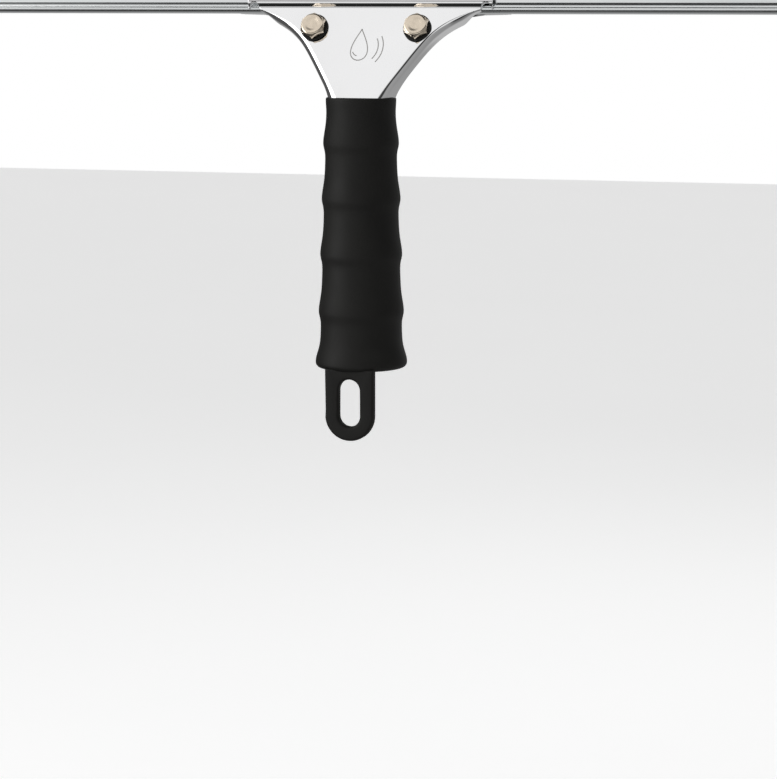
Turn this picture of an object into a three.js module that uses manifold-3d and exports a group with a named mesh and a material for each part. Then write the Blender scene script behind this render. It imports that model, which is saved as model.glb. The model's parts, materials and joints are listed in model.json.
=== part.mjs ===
// Window cleaning squeegee: a pressed stainless handle with a rubber grip, two clamping jaws,
// a sliding channel and its rubber blade. Millimetres, +Z up along the grip, +X along the
// channel, -Y the side that the bolt heads face. The origin is on the grip's axis, at the
// mouth of the pole socket.
import * as THREE from 'three';
import { mergeVertices } from 'three/addons/utils/BufferGeometryUtils.js';
import Module from 'manifold-3d';

const wasm = await Module();
wasm.setup();

// ---- driving dimensions -------------------------------------------------------------------
const CLEARANCE = 0.3;
const SHEET = 1.2;

const GRIP_LENGTH = 114.6;
const GRIP_LIP = 2;
const GRIP_FACETS = 44;
const BUMP_HEIGHTS = [24.2, 48.6, 72, 95.6];
const BUMP_RISE = 1.05;
const BUMP_SPREAD_ABOVE = 6.5;
const BUMP_SPREAD_BELOW = 3.4;
const FLARE_RISE = 1.8;
const FLARE_SPREAD = 5.5;

const SHANK_MOUTH_RADIUS = 15.6;
const SHANK_TAPER = 0.0185;
const SHANK_START = GRIP_LIP + CLEARANCE;
const ROUND_ENDS = 90;
const FAN_STARTS = 113;
const SEAM_HALF_ANGLE = 1.2;

const LEAN = THREE.MathUtils.degToRad(26);
const HEAD_Y = -7.5;
const HEAD_Z = GRIP_LENGTH;
const FAN_TOP = 41.2;
const FAN_NECK_HALF = 8;
const FAN_SLOPE = 0.62;
const FAN_FLARE = 16;
const FAN_FLARE_POWER = 7;
const EDGE_ROUND = 3.7;
const FLANGE_DEPTH = 6.3;
const PLAIN_EDGE = SHEET + 0.15;

const JAW_WIDTH = 108.6;
const JAW_STEP = 2;
const REAR_JAW_WIDTH = 123;
const REAR_JAW_TOE = 25;
const JAW_GAP = 0.6;
const LINE_OF_CHANNEL = 3.4;

const BOLT_SPACING = 45.6;
const BOLT_HEIGHT = 32.1;
const BOLT_RADIUS = 2.95;
const BOLT_HOLE = 3.35;
const BOLT_LENGTH = 11.5;
const HEX_ACROSS_FLATS = 10;
const HEAD_HEIGHT = 3;
const WASHER_RADIUS = 6;
const WASHER_THICKNESS = 0.8;
const NUT_HEIGHT = 4.2;

const CHANNEL_LENGTH = 450;
const CHANNEL_SHEET = 0.6;
const BULB_HEIGHT = 43;
const BULB_RADIUS = 2.4;
const LIP_HALF = 1.65;
const LIP_TOP = 53.4;

const BLADE_OVERHANG = 3;
const BEAD_RADIUS = 1.5;
const WEB_HALF = 0.7;
const BLADE_HALF = 1.15;
const BLADE_EDGE_HALF = 0.8;
const BLADE_TOP = 65.4;

const CLIP_LENGTH = 9;
const CLIP_SHEET = 0.7;

const LOOP_WIDTH = 21.6;
const LOOP_THICKNESS = 4.4;
const LOOP_Y = -15.5;
const LOOP_PIVOT_Z = -2.6;
const LOOP_BOTTOM = -29.7;
const SLOT_WIDTH = 9.4;
const SLOT_TOP = -5.2;
const SLOT_BOTTOM = -23.6;

// ---- solids -------------------------------------------------------------------------------
function toSolid(geometry) {
  const bare = geometry.clone();
  bare.deleteAttribute('normal');
  bare.deleteAttribute('uv');
  const welded = mergeVertices(bare, 1e-4);
  return new wasm.Manifold(new wasm.Mesh({
    numProp: 3,
    vertProperties: new Float32Array(welded.attributes.position.array),
    triVerts: new Uint32Array(welded.index.array),
  }));
}

function toGeometry(solid) {
  const mesh = solid.getMesh();
  const geometry = new THREE.BufferGeometry();
  geometry.setAttribute('position', new THREE.BufferAttribute(new Float32Array(mesh.vertProperties), 3));
  geometry.setIndex(new THREE.BufferAttribute(new Uint32Array(mesh.triVerts), 1));
  const faceted = geometry.toNonIndexed();
  faceted.computeVertexNormals();
  return faceted;
}

function named(name, shape, material) {
  const mesh = new THREE.Mesh(shape instanceof THREE.BufferGeometry ? shape : toGeometry(shape), material);
  mesh.name = name;
  return mesh;
}

// A straight length along X whose section is a shape drawn in (depth, height).
function lengthAlongX(shape, length) {
  const geometry = new THREE.ExtrudeGeometry(shape, { depth: length, bevelEnabled: false, curveSegments: 10 });
  geometry.translate(0, 0, -length / 2);
  geometry.applyMatrix4(new THREE.Matrix4().makeBasis(
    new THREE.Vector3(0, 1, 0),
    new THREE.Vector3(0, 0, 1),
    new THREE.Vector3(1, 0, 0),
  ));
  return geometry;
}

// A flat blank in the head's plane, drawn in (x, height), from one depth to another.
function blank(shape, from, to) {
  const geometry = new THREE.ExtrudeGeometry(shape, { depth: to - from, bevelEnabled: false, curveSegments: 16 });
  geometry.rotateX(Math.PI / 2);
  geometry.translate(0, to, 0);
  return geometry;
}

// A round bar lying along the head's depth.
function bar(radius, from, to, facets) {
  const geometry = new THREE.CylinderGeometry(radius, radius, to - from, facets);
  geometry.translate(0, (from + to) / 2, 0);
  return geometry;
}

// The outline of a sheet of even thickness that follows a line of (depth, height) points.
function bentSheet(line, thickness) {
  const offset = (side) => line.map((point, index) => {
    const before = line[Math.max(index - 1, 0)];
    const after = line[Math.min(index + 1, line.length - 1)];
    const normalIn = new THREE.Vector2(point[1] - before[1], before[0] - point[0]).normalize();
    const normalOut = new THREE.Vector2(after[1] - point[1], point[0] - after[0]).normalize();
    const mitre = normalIn.clone().add(normalOut).normalize();
    const straight = normalIn.lengthSq() > 0 ? normalIn : normalOut;
    const reach = (side * thickness) / 2 / mitre.dot(straight);
    return new THREE.Vector2(point[0] + mitre.x * reach, point[1] + mitre.y * reach);
  });
  return new THREE.Shape([...offset(1), ...offset(-1).reverse()]);
}

// ---- the pressed handle -------------------------------------------------------------------
function smooth(value) {
  const clamped = THREE.MathUtils.clamp(value, 0, 1);
  return clamped * clamped * (3 - 2 * clamped);
}

function fanHalfWidth(height) {
  const up = Math.max(height, 0);
  return FAN_NECK_HALF + FAN_SLOPE * height + FAN_FLARE * (up / FAN_TOP) ** FAN_FLARE_POWER;
}

// The flanges run out to a plain edge below the jaw, which leaves room for the channel.
function runOut(height) {
  return smooth((height - (FAN_TOP - 5)) / 4.6);
}

function edgeRound(height) {
  const neck = 1.5 * THREE.MathUtils.clamp(1 - height / 8, 0, 1) ** 2;
  return THREE.MathUtils.lerp(EDGE_ROUND + neck, PLAIN_EDGE, runOut(height));
}

function flangeDepth(height) {
  const neck = 5 * THREE.MathUtils.clamp(1 - height / 15, 0, 1.2) ** 2;
  return THREE.MathUtils.lerp(FLANGE_DEPTH + neck, PLAIN_EDGE + 0.05, runOut(height));
}

const FLANGE_STEPS = 5;
const ROUND_STEPS = 5;
const FLAT_STEPS = 6;

// Half of the sheet's line, from the middle of the front out to the rear edge, in the pressed
// fan: a flat, a rounded edge and a flange. Inset 0 is the outer face.
function fanLine(height, inset) {
  const half = fanHalfWidth(height);
  const corner = edgeRound(height);
  const depth = flangeDepth(height);
  const points = [];
  for (let step = 0; step <= FLAT_STEPS / 2; step += 1) {
    points.push([(half * step) / (FLAT_STEPS / 2), inset]);
  }
  for (let step = 1; step <= ROUND_STEPS; step += 1) {
    const turn = (Math.PI / 2) * (step / ROUND_STEPS);
    const radius = corner - inset;
    points.push([half + radius * Math.sin(turn), corner - radius * Math.cos(turn)]);
  }
  for (let step = 1; step <= FLANGE_STEPS; step += 1) {
    points.push([half + corner - inset, corner + ((depth - corner) * step) / FLANGE_STEPS]);
  }
  return points;
}

// The same half line where the sheet is rolled into the shank's tapering tube.
function shankRadius(z) {
  return SHANK_MOUTH_RADIUS - SHANK_TAPER * z;
}

function shankLine(z, inset) {
  const radius = shankRadius(z) - inset;
  const stops = [[FLAT_STEPS / 2, 0, 42], [ROUND_STEPS, 42, 90], [FLANGE_STEPS, 90, 180 - SEAM_HALF_ANGLE]];
  const points = [[0, -radius]];
  for (const [steps, from, to] of stops) {
    for (let step = 1; step <= steps; step += 1) {
      const turn = THREE.MathUtils.degToRad(from + ((to - from) * step) / steps);
      points.push([radius * Math.sin(turn), -radius * Math.cos(turn)]);
    }
  }
  return points;
}

// A point of the fan's own frame, in the object's frame.
function headPoint(x, depth, height) {
  return new THREE.Vector3(
    x,
    HEAD_Y + depth * Math.cos(LEAN) + height * Math.sin(LEAN),
    HEAD_Z - depth * Math.sin(LEAN) + height * Math.cos(LEAN),
  );
}

function handleLine(z, inset) {
  const height = (z - HEAD_Z) / Math.cos(LEAN);
  const share = smooth((z - ROUND_ENDS) / (FAN_STARTS - ROUND_ENDS));
  const fan = fanLine(height, inset);
  const half = shankLine(Math.min(z, GRIP_LENGTH), inset).map(([x, y], index) => {
    const round = new THREE.Vector3(x, y, z);
    return round.lerp(headPoint(fan[index][0], fan[index][1], height), share);
  });
  const mirrored = half.slice(1).reverse().map((point) => new THREE.Vector3(-point.x, point.y, point.z));
  return [...mirrored, ...half];
}

// Skins a closed solid over rings of points, all with the same count, whose first and last
// points stand side by side: each end is closed by a strip zipped between the two runs.
function skin(rings) {
  const positions = rings.flat().flatMap((point) => [point.x, point.y, point.z]);
  const count = rings[0].length;
  const indices = [];
  for (let ring = 0; ring < rings.length - 1; ring += 1) {
    for (let step = 0; step < count; step += 1) {
      const here = ring * count + step;
      const next = ring * count + ((step + 1) % count);
      indices.push(here, next, next + count, here, next + count, here + count);
    }
  }
  const top = (rings.length - 1) * count;
  for (let step = 0; 2 * step < count - 2; step += 1) {
    const across = count - 1 - step;
    indices.push(step, across, across - 1, top + step, top + across - 1, top + across);
    if (across - 1 > step + 1) {
      indices.push(step, across - 1, step + 1, top + step, top + step + 1, top + across - 1);
    }
  }
  const geometry = new THREE.BufferGeometry();
  geometry.setAttribute('position', new THREE.Float32BufferAttribute(positions, 3));
  geometry.setIndex(indices);
  return toSolid(geometry);
}

function handleStations() {
  const stations = [];
  const spans = [[SHANK_START, ROUND_ENDS, 3], [ROUND_ENDS, FAN_STARTS, 8], [FAN_STARTS, HEAD_Z + 24, 7],
    [HEAD_Z + 24, HEAD_Z + FAN_TOP * Math.cos(LEAN), 7]];
  for (const [from, to, steps] of spans) {
    for (let step = 0; step < steps; step += 1) {
      stations.push(from + ((to - from) * step) / steps);
    }
  }
  stations.push(HEAD_Z + FAN_TOP * Math.cos(LEAN));
  return stations;
}

function boltHole(side) {
  const hole = bar(BOLT_HOLE, -8, 14, 24);
  hole.translate((side * BOLT_SPACING) / 2, 0, BOLT_HEIGHT);
  return toSolid(hole);
}

// The line that the front jaw's sheet follows, in (depth, height): it steps forward round the
// channel's bulb and closes on its lips.
function frontJawLine() {
  const middle = SHEET / 2;
  const step = JAW_STEP;
  return [[middle, 37], [middle, 41.2], [middle - 0.3, 41.6], [middle - step + 0.3, 43], [middle - step, 43.4],
    [middle - step, 45.6], [middle - step + 0.5, 46.6], [middle - 0.2, 48.2], [middle + 0.2, 49],
    [middle + 0.2, 50.2]];
}

function frontJaw() {
  const jaw = toSolid(lengthAlongX(bentSheet(frontJawLine(), SHEET), JAW_WIDTH));
  const outline = new THREE.Shape();
  const half = JAW_WIDTH / 2;
  const notch = 2.6;
  outline.moveTo(-46, 36);
  outline.lineTo(46, 36);
  outline.lineTo(FAN_NECK_HALF + 42, FAN_TOP - 0.4);
  outline.absarc(half - notch, FAN_TOP - 0.2, notch, Math.PI, 0, true);
  outline.lineTo(half, 51);
  outline.lineTo(-half, 51);
  outline.lineTo(-half, FAN_TOP - 0.2);
  outline.absarc(-half + notch, FAN_TOP - 0.2, notch, Math.PI, 0, true);
  outline.lineTo(-FAN_NECK_HALF - 42, FAN_TOP - 0.4);
  outline.closePath();
  return jaw.intersect(toSolid(blank(outline, -6, 8)));
}

function handleShell(material) {
  const rings = handleStations().map((z) => [...handleLine(z, 0), ...handleLine(z, SHEET).reverse()]);
  const pressed = skin(rings);
  const placeJaw = new THREE.Matrix4().makeRotationX(-LEAN).setPosition(0, HEAD_Y, HEAD_Z);
  const jaw = frontJaw().transform(placeJaw.elements);
  let shell = pressed.add(jaw);
  for (const side of [-1, 1]) {
    shell = shell.subtract(boltHole(side).transform(placeJaw.elements));
  }
  return named('handle_shell', shell, material);
}

// ---- the clamp ----------------------------------------------------------------------------
function rearJawLine() {
  const inner = SHEET + JAW_GAP + SHEET / 2;
  const back = 2 * LINE_OF_CHANNEL + SHEET / 2;
  return [[inner, REAR_JAW_TOE], [inner, 38], [inner + 0.5, 38.8], [back - 0.6, 41], [back, 42],
    [back, 46], [back - 0.4, 47], [back - 1.15, 48], [back - 1.4, 48.8], [back - 1.4, 50]];
}

function rearJaw(material) {
  const sheet = toSolid(lengthAlongX(bentSheet(rearJawLine(), SHEET), REAR_JAW_WIDTH));
  const outline = new THREE.Shape();
  const half = REAR_JAW_WIDTH / 2;
  const shoulder = FAN_TOP + 0.9;
  outline.moveTo(-23, REAR_JAW_TOE - 1);
  outline.lineTo(23, REAR_JAW_TOE - 1);
  outline.lineTo(31, 33);
  outline.lineTo(38, 38.6);
  outline.quadraticCurveTo(42, shoulder, 50, shoulder);
  outline.lineTo(half - 2, shoulder);
  outline.absarc(half - 2, shoulder + 2, 2, -Math.PI / 2, 0, false);
  outline.lineTo(half, 51);
  outline.lineTo(-half, 51);
  outline.absarc(-half + 2, shoulder + 2, 2, Math.PI, (3 * Math.PI) / 2, false);
  outline.lineTo(-50, shoulder);
  outline.quadraticCurveTo(-42, shoulder, -38, 38.6);
  outline.lineTo(-31, 33);
  outline.closePath();
  let jaw = sheet.intersect(toSolid(blank(outline, -6, 14)));
  for (const side of [-1, 1]) {
    jaw = jaw.subtract(boltHole(side));
  }
  return named('rear_jaw', jaw, material);
}

function washer(name, material) {
  const ring = toSolid(bar(WASHER_RADIUS, -CLEARANCE - WASHER_THICKNESS, -CLEARANCE, 36));
  return named(name, ring.subtract(toSolid(bar(BOLT_HOLE, -8, 8, 24))), material);
}

// A hexagon blank whose corners are turned off by a cone on its outer face.
function hexagon(from, to, coneFace, facets = 6) {
  const cornerRadius = HEX_ACROSS_FLATS / 2 / Math.cos(Math.PI / facets);
  const prism = toSolid(bar(cornerRadius, from, to, facets));
  const reach = 12;
  const flatRadius = HEX_ACROSS_FLATS / 2 - 0.15;
  const cone = new THREE.CylinderGeometry(
    coneFace > 0 ? flatRadius : flatRadius + reach * 1.7,
    coneFace > 0 ? flatRadius + reach * 1.7 : flatRadius,
    reach,
    36,
  );
  cone.translate(0, coneFace > 0 ? to - reach / 2 : from + reach / 2, 0);
  return prism.intersect(toSolid(cone));
}

function bolt(name, material) {
  const underHead = -2 * CLEARANCE - WASHER_THICKNESS;
  const head = hexagon(underHead - HEAD_HEIGHT, underHead, -1);
  const shank = toSolid(bar(BOLT_RADIUS, underHead - 1, underHead + BOLT_LENGTH, 24));
  return named(name, head.add(shank), material);
}

function nut(name, material) {
  const face = 2 * SHEET + JAW_GAP + CLEARANCE;
  const body = hexagon(face, face + NUT_HEIGHT, 1);
  return named(name, body.subtract(toSolid(bar(BOLT_HOLE - 0.05, face - 2, face + NUT_HEIGHT + 2, 24))), material);
}

// ---- the grip -----------------------------------------------------------------------------
function swelling(z, centre, spread) {
  return Math.exp(-(((z - centre) / spread) ** 2));
}

function gripRadius(z) {
  let radius = 17.85 - 0.03 * z;
  for (const centre of BUMP_HEIGHTS) {
    radius += BUMP_RISE * swelling(z, centre, z > centre ? BUMP_SPREAD_ABOVE : BUMP_SPREAD_BELOW);
  }
  return radius + FLARE_RISE * swelling(z, 2.5, FLARE_SPREAD) + 0.45 * swelling(z, 114, 4);
}

function gripBody() {
  const edge = 2.2;
  const profile = [new THREE.Vector2(0, 0), new THREE.Vector2(gripRadius(0) - edge, 0)];
  for (let step = 1; step < 5; step += 1) {
    const turn = (Math.PI / 2) * (step / 5);
    profile.push(new THREE.Vector2(gripRadius(edge) - edge * (1 - Math.sin(turn)), edge * (1 - Math.cos(turn))));
  }
  const topRound = 0.4;
  for (let z = edge; z < GRIP_LENGTH - topRound; z += 2.9) {
    profile.push(new THREE.Vector2(gripRadius(z), z));
  }
  profile.push(new THREE.Vector2(gripRadius(GRIP_LENGTH), GRIP_LENGTH - topRound));
  profile.push(new THREE.Vector2(gripRadius(GRIP_LENGTH) - topRound, GRIP_LENGTH));
  profile.push(new THREE.Vector2(0, GRIP_LENGTH));
  const body = new THREE.LatheGeometry(profile, GRIP_FACETS);
  body.rotateX(Math.PI / 2);
  return toSolid(body);
}

// Everything inside the shank's outer face, with the running clearance round it and closed
// straight across where the sheet is open.
function shankEnvelope() {
  const rings = handleStations().filter((z) => z < HEAD_Z + 8).map((z) => handleLine(z, -CLEARANCE));
  for (const point of rings[0]) {
    point.z -= CLEARANCE;
  }
  return skin(rings);
}

function gripSleeve(material) {
  const mouthRadius = SHANK_MOUTH_RADIUS - SHEET + 0.2;
  const mouth = new THREE.CylinderGeometry(mouthRadius, mouthRadius, 4 * GRIP_LIP, 40);
  mouth.rotateX(Math.PI / 2);
  return named('grip_sleeve', gripBody().subtract(shankEnvelope()).subtract(toSolid(mouth)), material);
}

// A flat rubber loop with a slot through it, whose rounded root lies on its bending line.
function hangLoop(material) {
  const half = LOOP_WIDTH / 2;
  const round = LOOP_BOTTOM + half - LOOP_PIVOT_Z;
  const outline = new THREE.Shape();
  outline.moveTo(-half, 0);
  outline.lineTo(-half, round);
  outline.absarc(0, round, half, Math.PI, 2 * Math.PI, false);
  outline.lineTo(half, 0);
  outline.closePath();
  const slotHalf = SLOT_WIDTH / 2;
  const slot = new THREE.Path();
  const upper = SLOT_TOP - slotHalf - LOOP_PIVOT_Z;
  const lower = SLOT_BOTTOM + slotHalf - LOOP_PIVOT_Z;
  slot.absarc(0, upper, slotHalf, 0, Math.PI, false);
  slot.absarc(0, lower, slotHalf, Math.PI, 2 * Math.PI, false);
  slot.closePath();
  outline.holes.push(slot);
  const root = new THREE.CylinderGeometry(LOOP_THICKNESS / 2, LOOP_THICKNESS / 2, LOOP_WIDTH, 24);
  root.rotateZ(Math.PI / 2);
  const flat = toSolid(blank(outline, -LOOP_THICKNESS / 2, LOOP_THICKNESS / 2));
  const loop = named('hang_loop', flat.add(toSolid(root)), material);
  loop.position.set(0, LOOP_Y, LOOP_PIVOT_Z);
  return loop;
}

// ---- the channel and the rubber -----------------------------------------------------------
// A sheet folded into a keyhole: a round bulb below two lips, which may turn out at the top.
function keyhole(radius, lipHalf, top, hem, sheet) {
  const hemDrop = 1.6;
  const outerTurn = Math.acos(lipHalf / radius);
  const innerTurn = Math.acos((lipHalf - sheet) / (radius - sheet));
  const middle = LINE_OF_CHANNEL;
  const shape = new THREE.Shape();
  shape.moveTo(middle - lipHalf - hem, top);
  shape.lineTo(middle - lipHalf, top - hemDrop);
  shape.absarc(middle, BULB_HEIGHT, radius, Math.PI - outerTurn, 2 * Math.PI + outerTurn, false);
  shape.lineTo(middle + lipHalf, top - hemDrop);
  shape.lineTo(middle + lipHalf + hem, top);
  shape.lineTo(middle + lipHalf + hem - sheet, top);
  shape.lineTo(middle + lipHalf - sheet, top - hemDrop);
  shape.absarc(middle, BULB_HEIGHT, radius - sheet, innerTurn, Math.PI - innerTurn, true);
  shape.lineTo(middle - lipHalf + sheet, top - hemDrop);
  shape.lineTo(middle - lipHalf - hem + sheet, top);
  shape.closePath();
  return shape;
}

function channel(material) {
  const shape = keyhole(BULB_RADIUS, LIP_HALF, LIP_TOP, CHANNEL_SHEET, CHANNEL_SHEET);
  return named('channel', toSolid(lengthAlongX(shape, CHANNEL_LENGTH)), material);
}

function rubberBlade(material) {
  const middle = LINE_OF_CHANNEL;
  const beadTurn = Math.acos(WEB_HALF / BEAD_RADIUS);
  const shape = new THREE.Shape();
  shape.absarc(middle, BULB_HEIGHT, BEAD_RADIUS, Math.PI - beadTurn, 2 * Math.PI + beadTurn, false);
  shape.lineTo(middle + WEB_HALF, LIP_TOP + 0.2);
  shape.lineTo(middle + BLADE_HALF, LIP_TOP + 1);
  shape.lineTo(middle + BLADE_EDGE_HALF, BLADE_TOP);
  shape.lineTo(middle - BLADE_EDGE_HALF, BLADE_TOP);
  shape.lineTo(middle - BLADE_HALF, LIP_TOP + 1);
  shape.lineTo(middle - WEB_HALF, LIP_TOP + 0.2);
  shape.closePath();
  return named('rubber_blade', toSolid(lengthAlongX(shape, CHANNEL_LENGTH + 2 * BLADE_OVERHANG)), material);
}

function endClip(name, side, material) {
  const reach = CLEARANCE + CLIP_SHEET;
  const shape = keyhole(BULB_RADIUS + reach, LIP_HALF + reach, LIP_TOP - 2.2, 0, CLIP_SHEET);
  const clip = named(name, toSolid(lengthAlongX(shape, CLIP_LENGTH)), material);
  clip.position.x = side * (CHANNEL_LENGTH / 2 + 0.5 - CLIP_LENGTH / 2);
  return clip;
}

// ---- materials ----------------------------------------------------------------------------
function standard(color, roughness, metalness) {
  return new THREE.MeshStandardMaterial({ color, roughness, metalness });
}

const polishedSteel = () => standard(0xd9d9db, 0.12, 1);
const channelSteel = () => standard(0xc3c7c9, 0.22, 1);
const warmNickel = () => standard(0xc9b892, 0.3, 1);
const moulded = () => standard(0x202022, 0.75, 0);
const bladeRubber = () => standard(0x161617, 0.6, 0);

// ---- assembly -----------------------------------------------------------------------------
const squeegee = new THREE.Group();
squeegee.add(handleShell(polishedSteel()));
squeegee.add(gripSleeve(moulded()));
squeegee.add(hangLoop(moulded()));

const head = new THREE.Group();
head.position.set(0, HEAD_Y, HEAD_Z);
head.rotation.x = -LEAN;
squeegee.add(head);
head.add(rearJaw(polishedSteel()));
head.add(channel(channelSteel()));
head.add(rubberBlade(bladeRubber()));
for (const [word, side] of [['left', -1], ['right', 1]]) {
  for (const piece of [
    washer(`${word}_washer`, moulded()),
    bolt(`${word}_bolt`, warmNickel()),
    nut(`${word}_nut`, warmNickel()),
  ]) {
    piece.position.set((side * BOLT_SPACING) / 2, 0, BOLT_HEIGHT);
    head.add(piece);
  }
  head.add(endClip(`${word}_end_clip`, side, channelSteel()));
}

export default squeegee;
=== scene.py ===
"""Window squeegee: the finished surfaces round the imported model.

A pressed, mirror-polished handle with a moulded rubber grip and hang loop, two jaws closed by
two hex bolts, a folded channel, its rubber blade and two end clips, on a pale studio floor.
Shapes are worked out in millimetres and stored in metres.
"""
import json
import math

import bmesh
import bpy
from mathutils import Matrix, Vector


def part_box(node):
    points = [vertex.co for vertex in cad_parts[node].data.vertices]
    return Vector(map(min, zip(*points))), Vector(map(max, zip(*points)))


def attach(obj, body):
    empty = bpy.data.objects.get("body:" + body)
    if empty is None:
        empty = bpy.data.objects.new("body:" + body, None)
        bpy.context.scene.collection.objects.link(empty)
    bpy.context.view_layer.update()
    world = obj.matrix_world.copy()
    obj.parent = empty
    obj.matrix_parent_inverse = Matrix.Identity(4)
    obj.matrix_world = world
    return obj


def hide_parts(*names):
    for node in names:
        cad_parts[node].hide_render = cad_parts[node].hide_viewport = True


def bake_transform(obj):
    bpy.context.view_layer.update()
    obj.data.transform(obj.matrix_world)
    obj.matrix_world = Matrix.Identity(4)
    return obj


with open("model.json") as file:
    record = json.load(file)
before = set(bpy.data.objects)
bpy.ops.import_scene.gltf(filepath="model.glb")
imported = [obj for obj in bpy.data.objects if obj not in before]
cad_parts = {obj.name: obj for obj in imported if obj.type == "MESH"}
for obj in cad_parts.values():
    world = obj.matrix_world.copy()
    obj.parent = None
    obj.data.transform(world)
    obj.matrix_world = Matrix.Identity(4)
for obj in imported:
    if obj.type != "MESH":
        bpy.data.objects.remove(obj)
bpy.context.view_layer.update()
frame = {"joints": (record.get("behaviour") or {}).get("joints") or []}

bl_info = {
    "name": "Window Squeegee",
    "version": (1, 0, 0),
    "blender": (4, 5, 0),
    "location": "View3D > Sidebar > Squeegee",
    "description": "Builds a window squeegee's surfaces, materials and studio",
    "category": "Object",
}

MM = 0.001
JOINTS = {entry["name"]: entry for entry in frame["joints"]}


# ---- places, from the frame -------------------------------------------------------------------
def corners(node):
    """The node's lowest and highest corners in millimetres."""
    low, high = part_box(node)
    return Vector(low) / MM, Vector(high) / MM


BACKWARD = Vector(JOINTS["jaw_clamp"]["axis"])
LEAN = math.atan2(-BACKWARD.z, BACKWARD.y)
LEFT_BOLT = Vector(JOINTS["left_bolt_turn"]["pos_m"]) / MM
RIGHT_BOLT = Vector(JOINTS["right_bolt_turn"]["pos_m"]) / MM
LOOP_HINGE = Vector(JOINTS["hang_loop_bend"]["pos_m"]) / MM
GRIP_TOP = corners("grip_sleeve")[1].z
SHANK_BOTTOM = corners("handle_shell")[0].z
CHANNEL_HALF = corners("channel")[1].x
BLADE_HALF_LENGTH = corners("rubber_blade")[1].x
REAR_JAW_HALF = corners("rear_jaw")[1].x
JAW_HALF = corners("handle_shell")[1].x
LOOP_HALF = corners("hang_loop")[1].x
LOOP_LOW = corners("hang_loop")[0].z
CLIP_INNER_X = corners("right_end_clip")[0].x
CLIP_OUTER_X = corners("right_end_clip")[1].x
BOLT_X = RIGHT_BOLT.x
BOLT_HEIGHT = (LEFT_BOLT.z - GRIP_TOP) / math.cos(LEAN)
HEAD_Y = LEFT_BOLT.y - BOLT_HEIGHT * math.sin(LEAN)


def head_point(x, depth, height):
    """A point of the leaning head: across, behind its front face and up from the grip's rim."""
    return Vector((
        x,
        HEAD_Y + depth * math.cos(LEAN) + height * math.sin(LEAN),
        GRIP_TOP - depth * math.sin(LEAN) + height * math.cos(LEAN),
    ))


# ---- driving sizes ----------------------------------------------------------------------------
SHEET = 1.2
CLEARANCE = 0.3
SHANK_MOUTH_RADIUS = 15.6
SHANK_TAPER = 0.0185
ROUND_ENDS = 90.0
FAN_STARTS = 113.0
SEAM_HALF_ANGLE = 1.2
FAN_TOP = 41.2
FAN_NECK_HALF = 8.0
FAN_SLOPE = 0.62
FAN_FLARE = 16.0
FAN_FLARE_POWER = 7
EDGE_ROUND = 3.7
FLANGE_DEPTH = 6.3
PLAIN_EDGE = SHEET + 0.15
JAW_STEP = 2.0
JAW_GAP = 0.6
REAR_JAW_TOE = 25.0
CHANNEL_LINE = 3.4
BULB_HEIGHT = 43.0
BULB_RADIUS = 2.4
CHANNEL_SHEET = 0.6
LIP_HALF = 1.65
LIP_TOP = 53.4
BOLT_RADIUS = 2.95
BOLT_HOLE = 3.35
HEX_ACROSS_FLATS = 10.0
HEAD_HEIGHT = 3.0
WASHER_RADIUS = 6.0
WASHER_THICKNESS = 0.8
BOLT_LENGTH = 11.5
NUT_HEIGHT = 4.2
THREAD_PITCH = 1.0
BLADE_TOP = 65.4


# ---- settings ---------------------------------------------------------------------------------
class SqueegeeSizes(bpy.types.PropertyGroup):
    """Fine sizes that a user would change."""

    sheet_edge: bpy.props.FloatProperty(
        name="Sheet edge", description="Rounding of the pressed sheet's cut edges",
        default=0.22 * MM, unit="LENGTH")
    folded_edge: bpy.props.FloatProperty(
        name="Folded edge", description="Rounding of the channel's and clips' cut edges",
        default=0.1 * MM, unit="LENGTH")
    hole_relief: bpy.props.FloatProperty(
        name="Jaw relief", description="Radius of the small arch at each lower corner of the front jaw",
        default=2.3 * MM, unit="LENGTH")
    moulding_grain: bpy.props.FloatProperty(
        name="Moulding grain", description="Height of the grip's fine moulded grain",
        default=0.05 * MM, unit="LENGTH")
    eye_height: bpy.props.FloatProperty(
        name="Eye height", description="Height of the camera above the grip's foot",
        default=0.157, unit="LENGTH")
    eye_distance: bpy.props.FloatProperty(
        name="Eye distance", description="Distance of the camera from the grip's axis",
        default=1.1, unit="LENGTH")
    eye_azimuth: bpy.props.FloatProperty(
        name="Eye azimuth", description="How far the camera stands round to the right",
        default=math.radians(18), subtype="ANGLE")


class SqueegeeColours(bpy.types.PropertyGroup):
    """Colours of the finishes."""

    mirror_steel: bpy.props.FloatVectorProperty(
        name="Mirror steel", description="Tint of the polished sheet", size=3, subtype="COLOR",
        default=(0.9, 0.9, 0.905))
    rolled_steel: bpy.props.FloatVectorProperty(
        name="Rolled steel", description="Tint of the channel and its clips", size=3, subtype="COLOR",
        default=(0.74, 0.76, 0.765))
    warm_nickel: bpy.props.FloatVectorProperty(
        name="Warm nickel", description="Tint of the bolts, washers and nuts", size=3, subtype="COLOR",
        default=(0.77, 0.67, 0.545))
    # This black also dresses the washers, where it is painted shade round the bolt heads.
    moulded_rubber: bpy.props.FloatVectorProperty(
        name="Moulded rubber", description="Colour of the grip and its loop", size=3, subtype="COLOR",
        default=(0.0062, 0.0060, 0.0052))
    blade_rubber: bpy.props.FloatVectorProperty(
        name="Blade rubber", description="Colour of the wiping rubber", size=3, subtype="COLOR",
        default=(0.012, 0.012, 0.0125))
    floor: bpy.props.FloatVectorProperty(
        name="Floor", description="Colour of the studio floor", size=3, subtype="COLOR",
        default=(0.93, 0.93, 0.93))


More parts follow.
